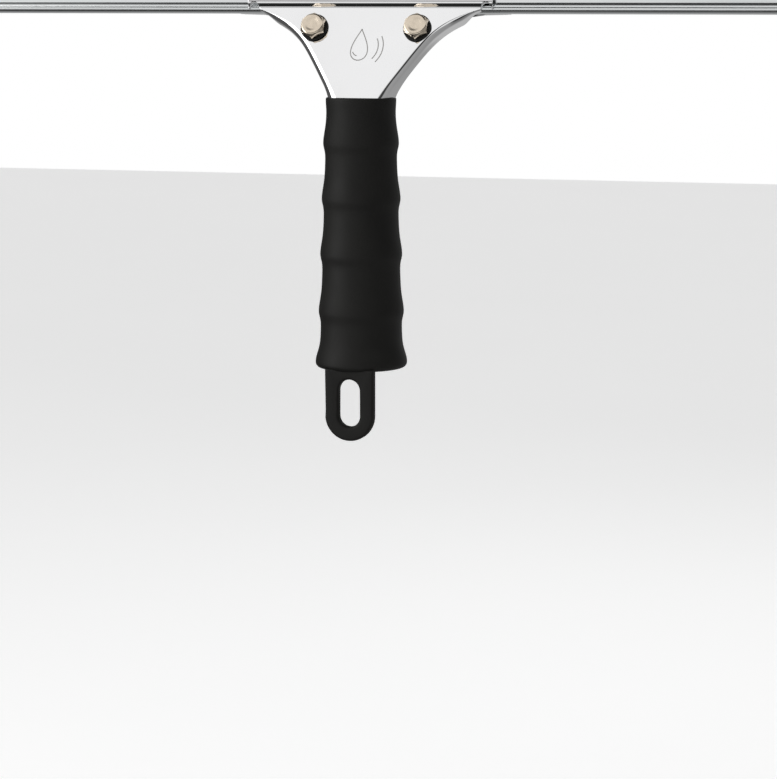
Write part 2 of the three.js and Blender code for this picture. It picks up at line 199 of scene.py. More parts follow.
# ---- mesh helpers -----------------------------------------------------------------------------
def new_object(name, points, faces, crease_angle=35):
    """A mesh object from points in millimetres, smooth but for edges over the crease angle."""
    mesh = bpy.data.meshes.new(name)
    mesh.from_pydata([Vector(point) * MM for point in points], [], faces)
    mesh.validate()
    shell = bmesh.new()
    shell.from_mesh(mesh)
    bmesh.ops.recalc_face_normals(shell, faces=shell.faces)
    shell.to_mesh(mesh)
    shell.free()
    obj = bpy.data.objects.new(name, mesh)
    bpy.context.collection.objects.link(obj)
    smooth(obj, crease_angle)
    return obj


def smooth(obj, crease_angle):
    obj.data.shade_smooth()
    obj.data.set_sharp_from_angle(angle=math.radians(crease_angle))


def grid_faces(rows, columns, wrap_columns=False, wrap_rows=False):
    """Quads over a grid of points stored row by row."""
    faces = []
    for row in range(rows if wrap_rows else rows - 1):
        for column in range(columns if wrap_columns else columns - 1):
            across = (column + 1) % columns
            above = (row + 1) % rows
            faces.append((
                row * columns + column, row * columns + across,
                above * columns + across, above * columns + column))
    return faces


def settle(obj):
    """Makes the modifiers' result the object's mesh."""
    graph = bpy.context.evaluated_depsgraph_get()
    mesh = bpy.data.meshes.new_from_object(obj.evaluated_get(graph))
    obj.modifiers.clear()
    obj.data = mesh
    return obj


def sheet_metal(name, outer, inner, faces):
    """A closed sheet from matched points of its two skins and the faces of the outer one."""
    count = len(outer)
    uses = {}
    for face in faces:
        for start, end in zip(face, face[1:] + face[:1]):
            uses[frozenset((start, end))] = uses.get(frozenset((start, end)), 0) + 1
    closed = list(faces) + [tuple(count + index for index in reversed(face)) for face in faces]
    for face in faces:
        for start, end in zip(face, face[1:] + face[:1]):
            if uses[frozenset((start, end))] == 1:
                closed.append((end, start, count + start, count + end))
    return new_object(name, list(outer) + list(inner), closed)


def round_edges(obj, width, segments=2, limit=50):
    """Rounds the hard edges and keeps the broad faces flat."""
    bevel = obj.modifiers.new("edges", "BEVEL")
    bevel.width = width
    bevel.segments = segments
    bevel.limit_method = "ANGLE"
    bevel.angle_limit = math.radians(limit)
    bevel.use_clamp_overlap = False
    settle(obj)
    smooth(obj, 50)
    weighted = obj.modifiers.new("broad faces", "WEIGHTED_NORMAL")
    weighted.weight = 90
    weighted.keep_sharp = True
    return settle(obj)


def cut(obj, *cutters):
    """Takes the cutters out of the object and deletes them."""
    for cutter in cutters:
        boolean = obj.modifiers.new("cut", "BOOLEAN")
        boolean.operation = "DIFFERENCE"
        boolean.solver = "EXACT"
        boolean.object = cutter
        settle(obj)
        bpy.data.objects.remove(cutter)
    return obj


def head_bar(radius, x, height, low, high, facets=48):
    """A round cutter that lies through the head's depth."""
    ring = [math.tau * step / facets for step in range(facets)]
    points = []
    for depth in (low, high):
        points += [head_point(x + radius * math.sin(turn), depth, height + radius * math.cos(turn))
                   for turn in ring]
    faces = grid_faces(2, facets, wrap_columns=True)
    faces += [tuple(range(facets)), tuple(range(facets, 2 * facets))]
    return new_object("cutter", points, faces)


def fillet(line, radius, steps=4):
    """Rounds each inner corner of a line of (a, b) points with an arc."""
    rounded = [Vector(line[0])]
    for before, corner, after in zip(line, line[1:], line[2:]):
        corner = Vector(corner)
        back = Vector(before) - corner
        ahead = Vector(after) - corner
        reach = min(radius, 0.45 * back.length, 0.45 * ahead.length)
        start = corner + back.normalized() * reach
        end = corner + ahead.normalized() * reach
        for step in range(steps + 1):
            share = step / steps
            rounded.append((1 - share) ** 2 * start + 2 * share * (1 - share) * corner + share ** 2 * end)
    rounded.append(Vector(line[-1]))
    return rounded


def offset_line(line, distance):
    """The line moved sideways, to its right as it runs."""
    moved = []
    for index, point in enumerate(line):
        before = line[max(index - 1, 0)]
        after = line[min(index + 1, len(line) - 1)]
        run = (after - before).normalized()
        moved.append(point + Vector((run.y, -run.x)) * distance)
    return moved


# ---- the pressed sheet ------------------------------------------------------------------------
def ease(value):
    clamped = min(max(value, 0.0), 1.0)
    return clamped * clamped * (3 - 2 * clamped)


def mix(low, high, share):
    return low + (high - low) * share


def fan_half_width(height):
    return FAN_NECK_HALF + FAN_SLOPE * height + FAN_FLARE * (max(height, 0) / FAN_TOP) ** FAN_FLARE_POWER


def run_out(height):
    """Share by which the flanges have run out to a plain edge below the jaw."""
    return ease((height - (FAN_TOP - 5)) / 4.6)


def edge_round(height):
    neck = 1.5 * min(max(1 - height / 8, 0), 1) ** 2
    return mix(EDGE_ROUND + neck, PLAIN_EDGE, run_out(height))


def flange_depth(height):
    neck = 5 * min(max(1 - height / 15, 0), 1.2) ** 2
    return mix(FLANGE_DEPTH + neck, PLAIN_EDGE + EDGE_COLUMN + 0.35, run_out(height))


FLAT_SHARES = (0, 0.15, 0.3, 0.45, 0.6, 0.72, 0.84, 0.94, 0.985, 1)
ROUND_STEPS = 14
FLANGE_STEPS = 8
EDGE_COLUMN = 0.3


def fan_line(height, inset):
    """Half of the sheet's line in the fan, as (across, depth), an inset inside its outer skin."""
    half = fan_half_width(height)
    corner = edge_round(height)
    depth = flange_depth(height)
    radius = corner - inset
    line = [(half * share, inset) for share in FLAT_SHARES]
    for step in range(1, ROUND_STEPS + 1):
        turn = math.pi / 2 * step / ROUND_STEPS
        line.append((half + radius * math.sin(turn), corner - radius * math.cos(turn)))
    for step in range(1, FLANGE_STEPS):
        line.append((half + radius, mix(corner, depth - EDGE_COLUMN, step / (FLANGE_STEPS - 1))))
    line.append((half + radius, depth))
    return line


def shank_line(z, inset):
    """The same half line where the sheet is rolled into the shank, as (x, y)."""
    radius = SHANK_MOUTH_RADIUS - SHANK_TAPER * z - inset
    turns = [42 * share for share in FLAT_SHARES]
    turns += [mix(42, 90, step / ROUND_STEPS) for step in range(1, ROUND_STEPS + 1)]
    turns += [mix(90, 180 - SEAM_HALF_ANGLE, step / FLANGE_STEPS) for step in range(1, FLANGE_STEPS + 1)]
    return [(radius * math.sin(math.radians(turn)), -radius * math.cos(math.radians(turn))) for turn in turns]


def handle_row(z, inset=0.0):
    """The sheet's line at one level, from its left rear edge round to its right one."""
    height = (z - GRIP_TOP) / math.cos(LEAN)
    share = ease((z - ROUND_ENDS) / (FAN_STARTS - ROUND_ENDS))
    half = []
    for (x, y), (across, depth) in zip(shank_line(min(z, GRIP_TOP), inset), fan_line(height, inset)):
        half.append(Vector((x, y, z)).lerp(head_point(across, depth, height), share))
    left = [Vector((-point.x, point.y, point.z)) for point in reversed(half[1:])]
    return left + half


def spaced(low, high, steps):
    return [mix(low, high, step / steps) for step in range(steps)]


def front_jaw_lines():
    """The front jaw's two faces as (depth, height), from the fan's top edge upward."""
    middle = SHEET / 2
    centre = fillet([
        (middle, FAN_TOP - 3), (middle, FAN_TOP + 0.8), (middle - JAW_STEP, FAN_TOP + 2.5),
        (middle - JAW_STEP, 45.6), (middle - JAW_STEP + 0.5, 46.6), (middle - 0.2, 48.2),
        (middle + 0.2, 49), (middle + 0.2, 50.2)], 0.7)
    return offset_line(centre, -SHEET / 2)[1:], offset_line(centre, SHEET / 2)[1:]


def build_handle_shell():
    """The fan, its flanges and the rolled shank, carried on upward as the front jaw."""
    top = GRIP_TOP + FAN_TOP * math.cos(LEAN)
    levels = spaced(SHANK_BOTTOM, ROUND_ENDS, 8) + spaced(ROUND_ENDS, FAN_STARTS, 26)
    levels += spaced(FAN_STARTS, top - 8, 24) + spaced(top - 8, top, 20) + [top]
    columns = len(handle_row(top))
    outer = [point for z in levels for point in handle_row(z)]
    inner = [point for z in levels for point in handle_row(z, SHEET)]
    faces = grid_faces(len(levels), columns)
    middle = columns // 2
    last_row = (len(levels) - 1) * columns
    flat = len(FLAT_SHARES) - 1
    shared = {outer[last_row + column].x: last_row + column
              for column in range(middle - flat, middle + flat + 1)}
    inner_half = max(shared)
    wings = [mix(inner_half, JAW_HALF, share) for share in (0.25, 0.5, 0.75, 0.91, 1)]
    across = sorted([-x for x in wings] + list(shared) + wings)
    lower = []
    for x in across:
        if x in shared:
            lower.append(shared[x])
            inner[shared[x]] = head_point(x, SHEET, FAN_TOP)
        else:
            lower.append(len(outer))
            outer.append(head_point(x, 0, FAN_TOP))
            inner.append(head_point(x, SHEET, FAN_TOP))
    for front, back in zip(*front_jaw_lines()):
        upper = list(range(len(outer), len(outer) + len(across)))
        outer += [head_point(x, *front) for x in across]
        inner += [head_point(x, *back) for x in across]
        for index in range(len(across) - 1):
            faces.append((lower[index], lower[index + 1], upper[index + 1], upper[index]))
        lower = upper
    shell = sheet_metal("handle_shell", outer, inner, faces)
    relief = bpy.context.scene.squeegee_sizes.hole_relief / MM
    cutters = [head_bar(BOLT_HOLE, side * BOLT_X, BOLT_HEIGHT, -6, 10) for side in (-1, 1)]
    cutters += [head_bar(relief, side * (JAW_HALF - 0.5 - relief), FAN_TOP - 0.1, -6, 6) for side in (-1, 1)]
    return cut(shell, *cutters)


# ---- the rear jaw -----------------------------------------------------------------------------
def rear_jaw_lines():
    """The rear jaw's two faces and its middle as (depth, height)."""
    inner = SHEET + JAW_GAP + SHEET / 2
    back = 2 * CHANNEL_LINE + SHEET / 2
    line = [
        (inner, REAR_JAW_TOE), (inner, 38), (inner + 0.5, 38.8), (back - 0.6, 41), (back, 42),
        (back, 46), (back - 0.4, 47), (back - 1.15, 48), (back - 1.4, 48.8), (back - 1.4, 50)]
    centre = dense(fillet(line, 0.9), 0.9)
    return offset_line(centre, -SHEET / 2), offset_line(centre, SHEET / 2), centre


def rear_jaw_half(height):
    """Half of the rear jaw's width: a blunt wedge between the flanges, then full width above them."""
    shoulder = FAN_TOP + 0.9
    if height < 33:
        corner = 2.5 * (1 - min((height - REAR_JAW_TOE) / 2.5, 1)) ** 2
        return mix(23, 31, (height - REAR_JAW_TOE) / (33 - REAR_JAW_TOE)) - corner
    if height < 38.6:
        return mix(31, 38, (height - 33) / 5.6)
    if height < shoulder:
        return mix(38, 50, ((height - 38.6) / (shoulder - 38.6)) ** 2)
    rise = min((height - shoulder) / 2, 1)
    return REAR_JAW_HALF - 2 * (1 - math.sqrt(1 - (1 - rise) ** 2))


def dense(line, longest):
    """Adds points so that no stretch of the line is longer than asked."""
    points = [line[0]]
    for start, end in zip(line, line[1:]):
        pieces = max(1, math.ceil((end - start).length / longest))
        points += [start.lerp(end, step / pieces) for step in range(1, pieces + 1)]
    return points


def build_rear_jaw():
    """The pressed clamping plate behind the fan."""
    right_shares = [0.2, 0.5, 0.8, 0.97, 1]
    shares = [-share for share in reversed(right_shares)] + right_shares
    outer = []
    inner = []
    for front, back, middle in zip(*rear_jaw_lines()):
        half = rear_jaw_half(middle.y)
        outer += [head_point(half * share, *front) for share in shares]
        inner += [head_point(half * share, *back) for share in shares]
    jaw = sheet_metal("rear_jaw", outer, inner, grid_faces(len(outer) // len(shares), len(shares)))
    return cut(jaw, *[head_bar(BOLT_HOLE, side * BOLT_X, BOLT_HEIGHT, -6, 12) for side in (-1, 1)])


# ---- bolts, washers and nuts ------------------------------------------------------------------
TURNED_FACETS = 96


def turned(x, rings):
    """A closed piece turned about a bolt's axis, from (depth, radius of the angle) rings."""
    points = []
    for depth, radius_of in rings:
        for step in range(TURNED_FACETS):
            turn = math.tau * step / TURNED_FACETS
            radius = radius_of(turn) if callable(radius_of) else radius_of
            points.append(head_point(
                x + radius * math.sin(turn), depth, BOLT_HEIGHT + radius * math.cos(turn)))
    faces = grid_faces(len(rings), TURNED_FACETS, wrap_columns=True)
    return points, faces


def capped(name, x, rings, crease_angle=30):
    points, faces = turned(x, rings)
    last = (len(rings) - 1) * TURNED_FACETS
    faces += [tuple(range(TURNED_FACETS)), tuple(range(last, last + TURNED_FACETS))]
    return new_object(name, points, faces, crease_angle)


def looped(name, x, rings, crease_angle=30):
    points, _ = turned(x, rings)
    return new_object(name, points, grid_faces(len(rings), TURNED_FACETS, True, True), crease_angle)


def hex_radius(limit):
    """The radius of a hexagon whose corners are turned down to a limit."""
    def radius_of(turn):
        sixth = math.pi / 3
        from_corner = (turn + sixth / 2) % sixth - sixth / 2
        flat = HEX_ACROSS_FLATS / 2 / math.cos(sixth / 2 - abs(from_corner))
        return min(flat, limit)
    return radius_of


def thread_radius(depth):
    """A rounded thread: the radius of each angle at one depth."""
    def radius_of(turn):
        phase = (depth / THREAD_PITCH - turn / math.tau) % 1
        crest = 0.5 + 0.5 * math.cos(math.tau * phase)
        return BOLT_RADIUS - 0.42 * (1 - ease(crest * 1.25))
    return radius_of


def build_bolt(side, word):
    """A hex bolt with a chamfered, slightly dished head and a rolled thread."""
    under = -2 * CLEARANCE - WASHER_THICKNESS
    face = under - HEAD_HEIGHT
    shoulder = 1.0
    crown = HEX_ACROSS_FLATS / 2 - shoulder
    rings = [(face + 0.22, 0.02), (face + 0.22, 2.0), (face + 0.18, 2.4), (face + 0.03, 3.1), (face, 3.4)]
    for turn in [math.radians(9 * step) for step in range(9)]:
        rings.append((face + shoulder * (1 - math.cos(turn)),
                      hex_radius(crown + shoulder * math.sin(turn) + 0.05)))
    rings += [(face + shoulder + 0.12 * step, hex_radius(5.08 + 0.17 * step)) for step in range(1, 5)]
    rings += [(under - 0.25, hex_radius(9)), (under - 0.1, hex_radius(5.6)), (under, hex_radius(5.2)),
              (under, BOLT_RADIUS + 0.1), (under + 0.3, BOLT_RADIUS)]
    end = under + BOLT_LENGTH
    threads_start = under + 1.6
    count = int((end - 0.7 - threads_start) / 0.125)
    rings += [(threads_start + 0.125 * step, thread_radius(threads_start + 0.125 * step))
              for step in range(count)]
    rings += [(end - 0.6, BOLT_RADIUS - 0.42), (end - 0.1, BOLT_RADIUS - 0.8), (end, BOLT_RADIUS - 1.1)]
    return capped(f"{word}_bolt", side * BOLT_X, rings)


def build_washer(side, word):
    """A plain washer with rolled edges."""
    low = -CLEARANCE - WASHER_THICKNESS
    edge = 0.16
    rings = [
        (low, BOLT_HOLE + edge), (low, WASHER_RADIUS - 2 * edge), (low + 0.06, WASHER_RADIUS - edge / 2),
        (low + edge, WASHER_RADIUS), (-CLEARANCE - edge, WASHER_RADIUS), (-CLEARANCE, WASHER_RADIUS - edge),
        (-CLEARANCE, BOLT_HOLE + edge), (-CLEARANCE - edge, BOLT_HOLE), (low + edge, BOLT_HOLE)]
    return looped(f"{word}_washer", side * BOLT_X, rings)


def build_nut(side, word):
    """A hex nut chamfered on both faces."""
    low = 2 * SHEET + JAW_GAP + CLEARANCE
    high = low + NUT_HEIGHT
    flat = HEX_ACROSS_FLATS / 2 - 0.15
    bore = BOLT_HOLE - 0.05
    chamfer = [(0.1 * step, flat + 0.17 * step) for step in range(0, 7)]
    rings = [(low, bore + 0.4), (low, flat - 0.3)]
    rings += [(low + rise, hex_radius(radius)) for rise, radius in chamfer]
    rings += [(high - rise, hex_radius(radius)) for rise, radius in reversed(chamfer)]
    rings += [(high, flat - 0.3), (high, bore + 0.4), (high - 0.4, bore), (low + 0.4, bore)]
    return looped(f"{word}_nut", side * BOLT_X, rings)


# ---- the rubber grip and its loop -------------------------------------------------------------
BUMP_LEVELS = (24.2, 48.6, 72.0, 95.6)
GRIP_FACETS = 144


def swelling(z, centre, spread):
    return math.exp(-(((z - centre) / spread) ** 2))


def grip_radius(z):
    radius = 17.85 - 0.03 * z
    for centre in BUMP_LEVELS:
        radius += 1.05 * swelling(z, centre, 6.5 if z > centre else 3.4)
    return radius + 1.8 * swelling(z, 2.5, 5.5) + 0.45 * swelling(z, 114, 4)


def reach_of(outline, turn):
    """How far a closed outline round the axis reaches in one direction."""
    way = Vector((math.sin(turn), -math.cos(turn)))
    best = 0.0
    for start, end in zip(outline, outline[1:] + outline[:1]):
        side = end - start
        spin = way.x * side.y - way.y * side.x
        if abs(spin) < 1e-9:
            continue
        along = (start.x * side.y - start.y * side.x) / spin
        share = (start.x * way.y - start.y * way.x) / spin
        if along > 0 and -1e-6 <= share <= 1 + 1e-6:
            best = max(best, along)
    return best


def shank_outline(z):
    """The shank's outer line at one level, which leaves the rubber a hair of room."""
    return [Vector((point.x, point.y)) for point in handle_row(z)]


def build_grip():
    """The moulded sleeve: four swellings, a flared foot with a rounded rim, and its bore."""
    turns = [math.tau * step / GRIP_FACETS for step in range(GRIP_FACETS)]
    rows = []
    foot = 2.2
    rim = 0.5
    mouth = SHANK_MOUTH_RADIUS - SHEET + 0.2
    rows.append([(mouth + 0.3, 0.0)] * GRIP_FACETS)
    for step in range(9):
        turn = math.pi / 2 * step / 8
        radius = grip_radius(foot) - foot * (1 - math.sin(turn))
        rows.append([(radius, foot * (1 - math.cos(turn)))] * GRIP_FACETS)
    outer_levels = 150
    for step in range(1, outer_levels + 1):
        z = mix(foot, GRIP_TOP - rim, step / outer_levels)
        rows.append([(grip_radius(z), z)] * GRIP_FACETS)
    for step in (0.4, 0.75, 1):
        turn = math.pi / 2 * step
        radius = grip_radius(GRIP_TOP) - rim * (1 - math.cos(turn))
        rows.append([(radius, GRIP_TOP - rim + rim * math.sin(turn))] * GRIP_FACETS)
    for z in (GRIP_TOP, GRIP_TOP - 0.6, 108, 100, 92, 60, 30, 2.0):
        outline = shank_outline(min(z, GRIP_TOP - 0.05))
        rows.append([(min(reach_of(outline, turn) + 0.25, grip_radius(z) - 0.75), z) for turn in turns])
    rows.append([(mouth, 2.0)] * GRIP_FACETS)
    rows.append([(mouth, 0.3)] * GRIP_FACETS)
    points = [(radius * math.sin(turn), -radius * math.cos(turn), z)
              for row in rows for (radius, z), turn in zip(row, turns)]
    return new_object("rubber_grip", points, grid_faces(len(rows), GRIP_FACETS, True, True), 60)


SLOT_HALF = 4.7
SLOT_TOP = -3.4
SLOT_BOTTOM = -23.6
LOOP_THICKNESS = 4.4


def loop_outline(steps=28):
    """Half turns of the loop's outer edge and slot, matched point for point as (x, z)."""
    outer_round = LOOP_LOW + LOOP_HALF
    lower = SLOT_BOTTOM + SLOT_HALF
    upper = SLOT_TOP - SLOT_HALF
    outer = []
    inner = []
    for step in range(9):
        share = step / 8
        outer.append((mix(-LOOP_HALF, -LOOP_HALF + 0.2, share), mix(1.2, outer_round + 2, share)))
        inner.append((-SLOT_HALF, mix(upper, lower, share)))
    for step in range(1, steps + 1):
        turn = math.pi * step / steps
        outer.append((-math.cos(turn) * LOOP_HALF, outer_round - LOOP_HALF * math.sin(turn)))
        inner.append((-math.cos(turn) * SLOT_HALF, lower - SLOT_HALF * math.sin(turn)))
    for step in range(1, 9):
        share = step / 8
        outer.append((mix(LOOP_HALF, LOOP_HALF, share), mix(outer_round + 2, 1.2, share)))
        inner.append((SLOT_HALF, mix(lower, upper, share)))
    for step in range(1, 16):
        turn = math.pi * step / 16
        outer.append((mix(LOOP_HALF, -LOOP_HALF, step / 16), 1.2))
        inner.append((math.cos(turn) * SLOT_HALF, upper + SLOT_HALF * math.sin(turn)))
    return outer, inner


def build_hang_loop():
    """A flat slotted loop with softly rounded edges, moulded on under the grip's front."""
    outer, inner = loop_outline()
    half = LOOP_THICKNESS / 2
    edge = 1.3
    profile = []
    for step in range(6):
        turn = math.pi / 2 * step / 5
        profile.append((edge * (1 - math.sin(turn)), half - edge + edge * math.cos(turn)))
    rim = profile + [(inset, -depth) for inset, depth in reversed(profile)]
    count = len(outer)
    points = []
    for inset, depth in rim:
        for (ox, oz), (ix, iz) in zip(outer, inner):
            way = (Vector((ix, iz)) - Vector((ox, oz))).normalized()
            points.append((ox + way.x * inset, LOOP_HINGE.y - depth, oz + way.y * inset))
    for inset, depth in reversed(rim):
        for (ox, oz), (ix, iz) in zip(outer, inner):
            way = (Vector((ox, oz)) - Vector((ix, iz))).normalized()
            points.append((ix + way.x * inset, LOOP_HINGE.y - depth, iz + way.y * inset))
    return new_object("hang_loop", points, grid_faces(2 * len(rim), count, True, True), 60)


# ---- the channel, the blade and the clips -----------------------------------------------------
def keyhole(radius, lip_half, top, hem):
    """Outer line of a folded keyhole section as (depth, height), from lip to lip."""
    turn = math.acos(lip_half / radius)
    hem_drop = 1.6
    arc_steps = 40
    start = [(-lip_half - hem, top), (-lip_half, top - hem_drop)]
    if hem == 0:
        start = [(-lip_half, top)]
    waist = [(-lip_half, BULB_HEIGHT + radius * math.sin(turn) + 0.5)]
    arc = []
    for step in range(arc_steps + 1):
        angle = mix(math.pi - turn, math.tau + turn, step / arc_steps)
        arc.append((radius * math.cos(angle), BULB_HEIGHT + radius * math.sin(angle)))
    left = start + waist
    line = left + arc + [(-x, z) for x, z in reversed(left)]
    return fillet(line, 0.35, 3)


def folded(name, line, sheet, low, high):
    """A sheet folded along a line and run straight across."""
    inner = offset_line(line, -sheet)
    section = list(line) + list(reversed(inner))
    points = []
    for x in (low, high):
        points += [head_point(x, CHANNEL_LINE + point.x, point.y) for point in section]
    count = len(section)
    faces = grid_faces(2, count, wrap_columns=True)
    half = len(line)
    for index in range(half - 1):
        across = count - 1 - index
        faces.append((index, index + 1, across - 1, across))
        faces.append((count + index, count + across, count + across - 1, count + index + 1))
    return new_object(name, points, faces, 40)


def build_channel():
    """The folded steel channel: a round bulb below two lips turned out at the top."""
    line = keyhole(BULB_RADIUS, LIP_HALF, LIP_TOP, CHANNEL_SHEET)
    return folded("channel", line, CHANNEL_SHEET, -CHANNEL_HALF, CHANNEL_HALF)


def build_end_clip(side, word):
    """A sprung clip round the channel's end."""
    reach = 1.0
    line = keyhole(BULB_RADIUS + reach, LIP_HALF + reach, LIP_TOP - 2.2, 0)
    low, high = sorted((side * CLIP_INNER_X, side * CLIP_OUTER_X))
    return folded(f"{word}_end_clip", line, reach - CLEARANCE, low, high)


def build_blade():
    """The extruded rubber: a round bead, a thin web and a blade with a square wiping edge."""
    bead, web, root, edge = 1.5, 0.7, 1.15, 0.8
    turn = math.acos(web / bead)
    arc_steps = 24
    section = []
    for step in range(arc_steps + 1):
        angle = mix(math.pi - turn, math.tau + turn, step / arc_steps)
        section.append((bead * math.cos(angle), BULB_HEIGHT + bead * math.sin(angle)))
    right = [(web, LIP_TOP + 0.2), (root - 0.2, LIP_TOP + 0.75), (root, LIP_TOP + 1), (root, LIP_TOP + 1.6),
             (edge + 0.02, BLADE_TOP - 0.3), (edge, BLADE_TOP - 0.08), (edge - 0.06, BLADE_TOP)]
    section += right + [(-x, z) for x, z in reversed(right)]
    count = len(section)
    points = []
    for x in (-BLADE_HALF_LENGTH, BLADE_HALF_LENGTH):
        points += [head_point(x, CHANNEL_LINE + depth, height) for depth, height in section]
    faces = grid_faces(2, count, wrap_columns=True)
    faces += [tuple(range(count)), tuple(range(count, 2 * count))]
    return new_object("rubber_blade", points, faces, 40)


# ---- the etched mark --------------------------------------------------------------------------
def ribbon(path, width, lift=0.02):
    """A flat stroke along (x, height) points just proud of the fan's front face."""
    points = []
    faces = []
    for index, point in enumerate(path):
        before = path[max(index - 1, 0)]
        after = path[min(index + 1, len(path) - 1)]
        run = (after - before).normalized()
        side = Vector((run.y, -run.x)) * width / 2
        for depth in (-lift, -lift / 4):
            for sign in (-1, 1):
                spot = point + side * sign
                points.append(head_point(spot.x, depth, spot.y))
    for index in range(len(path) - 1):
        low = index * 4
        high = low + 4
        faces += [(low, low + 1, high + 1, high), (low + 2, high + 2, high + 3, low + 3),
                  (low, high, high + 2, low + 2), (low + 1, low + 3, high + 3, high + 1)]
    last = 4 * (len(path) - 1)
    faces += [(0, 2, 3, 1), (last, last + 1, last + 3, last + 2)]
    return points, faces


def build_etched_drop():
    """A plain water drop and two wiping strokes, etched between the bolts."""
    centre = Vector((-1.5, 24.5))
    drop = []
    for step in range(65):
        turn = math.tau * step / 64
        drop.append(centre + Vector((
            5.2 * math.sin(turn) * abs(math.sin(turn / 2)) ** 1.4, 7.2 * math.cos(turn))))
    glint = [centre + Vector((2.9 * math.cos(turn), -2.4 + 2.9 * math.sin(turn)))
             for turn in [mix(math.radians(200), math.radians(255), step / 12) for step in range(13)]]
    strokes = [drop, glint]
    for radius in (8.2, 10.4):
        sweep = [mix(math.radians(-42), math.radians(28), step / 20) for step in range(21)]
        strokes.append([centre + Vector((radius * math.cos(turn), -1 + radius * math.sin(turn)))
                        for turn in sweep])
    points = []
    faces = []
    for stroke in strokes:
        more, quads = ribbon(stroke, 0.45)
        faces += [tuple(index + len(points) for index in quad) for quad in quads]
        points += more
    return new_object("etched_drop", points, faces)


# ---- materials --------------------------------------------------------------------------------
class Finish:
    """A node material built step by step round one principled shader."""

    def __init__(self, name):
        self.material = bpy.data.materials.new(name)
        self.material.use_nodes = True
        self.tree = self.material.node_tree
        self.shader = self.tree.nodes["Principled BSDF"]
        self.place = self.tree.nodes.new("ShaderNodeTexCoord").outputs["Object"]

    def node(self, kind, inputs=None, **settings):
        made = self.tree.nodes.new(kind)
        for key, value in settings.items():
            setattr(made, key, value)
        for key, value in (inputs or {}).items():
            self.feed(made.inputs[key], value)
        return made

    def feed(self, socket, value):
        if isinstance(value, bpy.types.NodeSocket):
            self.tree.links.new(value, socket)
        else:
            socket.default_value = value

    def set(self, **values):
        for key, value in values.items():
            self.feed(self.shader.inputs[key.replace("_", " ")], value)

    def noise(self, scale, detail=3.0, roughness=0.5, stretch=(1, 1, 1), seed=0.0):
        mapping = self.node("ShaderNodeMapping", {"Vector": self.place, "Scale": stretch,
                                                  "Location": (seed, seed * 0.7, seed * 1.3)})
        texture = self.node("ShaderNodeTexNoise", {"Vector": mapping.outputs[0], "Scale": scale,
                                                   "Detail": detail, "Roughness": roughness})
        return texture.outputs["Fac"]

    def ramp(self, value, low, high, from_low=0.3, from_high=0.7):
        scaled = self.node("ShaderNodeMapRange", {"Value": value, "From Min": from_low, "From Max": from_high,
                                                  "To Min": low, "To Max": high})
        return scaled.outputs["Result"]

    def tint(self, value, dark, light):
        blend = self.node("ShaderNodeMix", {"Factor": value}, data_type="RGBA")
        self.feed(blend.inputs["A"], (*dark, 1))
        self.feed(blend.inputs["B"], (*light, 1))
        return blend.outputs["Result"]

    def bump(self, height, distance, strength=1.0):
        made = self.node("ShaderNodeBump", {"Height": height, "Distance": distance, "Strength": strength})
        self.feed(self.shader.inputs["Normal"], made.outputs["Normal"])


def shade(colour, factor):
    return tuple(min(part * factor, 1.0) for part in colour)


def mirror_steel(colours):
    """Mirror-polished sheet: faint wiping smears and very fine polishing lines."""
    finish = Finish("mirror_steel")
    smear = finish.noise(38, 4, 0.6, (1, 1, 0.5), 3.1)
    grain = finish.noise(900, 2, 0.5, (1, 1, 0.03), 1.7)
    finish.set(Metallic=1.0)
    finish.feed(finish.shader.inputs["Base Color"], finish.tint(
        finish.ramp(smear, 0, 1), shade(colours.mirror_steel, 0.965), colours.mirror_steel))
    finish.feed(finish.shader.inputs["Roughness"], finish.ramp(smear, 0.045, 0.1))
    finish.bump(grain, 0.0000012, 0.25)
    return finish.material


def rolled_steel(colours):
    """Bright rolled steel with drawing lines along its length."""
    finish = Finish("rolled_steel")
    lines = finish.noise(700, 3, 0.6, (0.012, 1, 1), 5.3)
    cloud = finish.noise(25, 3, 0.5, (0.4, 1, 1), 2.2)
    finish.set(Metallic=1.0)
    finish.feed(finish.shader.inputs["Base Color"], finish.tint(
        finish.ramp(lines, 0, 1), shade(colours.rolled_steel, 0.86), colours.rolled_steel))
    finish.feed(finish.shader.inputs["Roughness"], finish.ramp(cloud, 0.13, 0.24))
    finish.bump(lines, 0.000004, 0.35)
    return finish.material


def warm_nickel(colours):
    """Nickel-brass plating, a little mottled, with fine turning marks."""
    finish = Finish("warm_nickel")
    mottle = finish.noise(420, 4, 0.6, (1, 1, 1), 4.4)
    fine = finish.noise(2600, 2, 0.5, (1, 1, 1), 8.8)
    finish.set(Metallic=1.0)
    finish.feed(finish.shader.inputs["Base Color"], finish.tint(
        finish.ramp(mottle, 0, 1), shade(colours.warm_nickel, 0.8), colours.warm_nickel))
    finish.feed(finish.shader.inputs["Roughness"], finish.ramp(mottle, 0.13, 0.22))
    finish.bump(fine, 0.000008, 0.3)
    return finish.material


def moulded_rubber(colours, grain_height):
    """Matt moulded rubber: a fine pebbled grain and soft patches where it is handled."""
    finish = Finish("moulded_rubber")
    pebble = finish.noise(2400, 2, 0.5, (1, 1, 1), 6.1)
    patch = finish.noise(60, 4, 0.6, (1, 1, 0.6), 9.3)
    finish.set(Specular_IOR_Level=0.24)
    finish.feed(finish.shader.inputs["Base Color"], finish.tint(
        finish.ramp(patch, 0, 1), shade(colours.moulded_rubber, 0.8), shade(colours.moulded_rubber, 1.35)))
    finish.feed(finish.shader.inputs["Roughness"], finish.ramp(patch, 0.5, 0.64))
    finish.bump(pebble, grain_height, 0.5)
    return finish.material


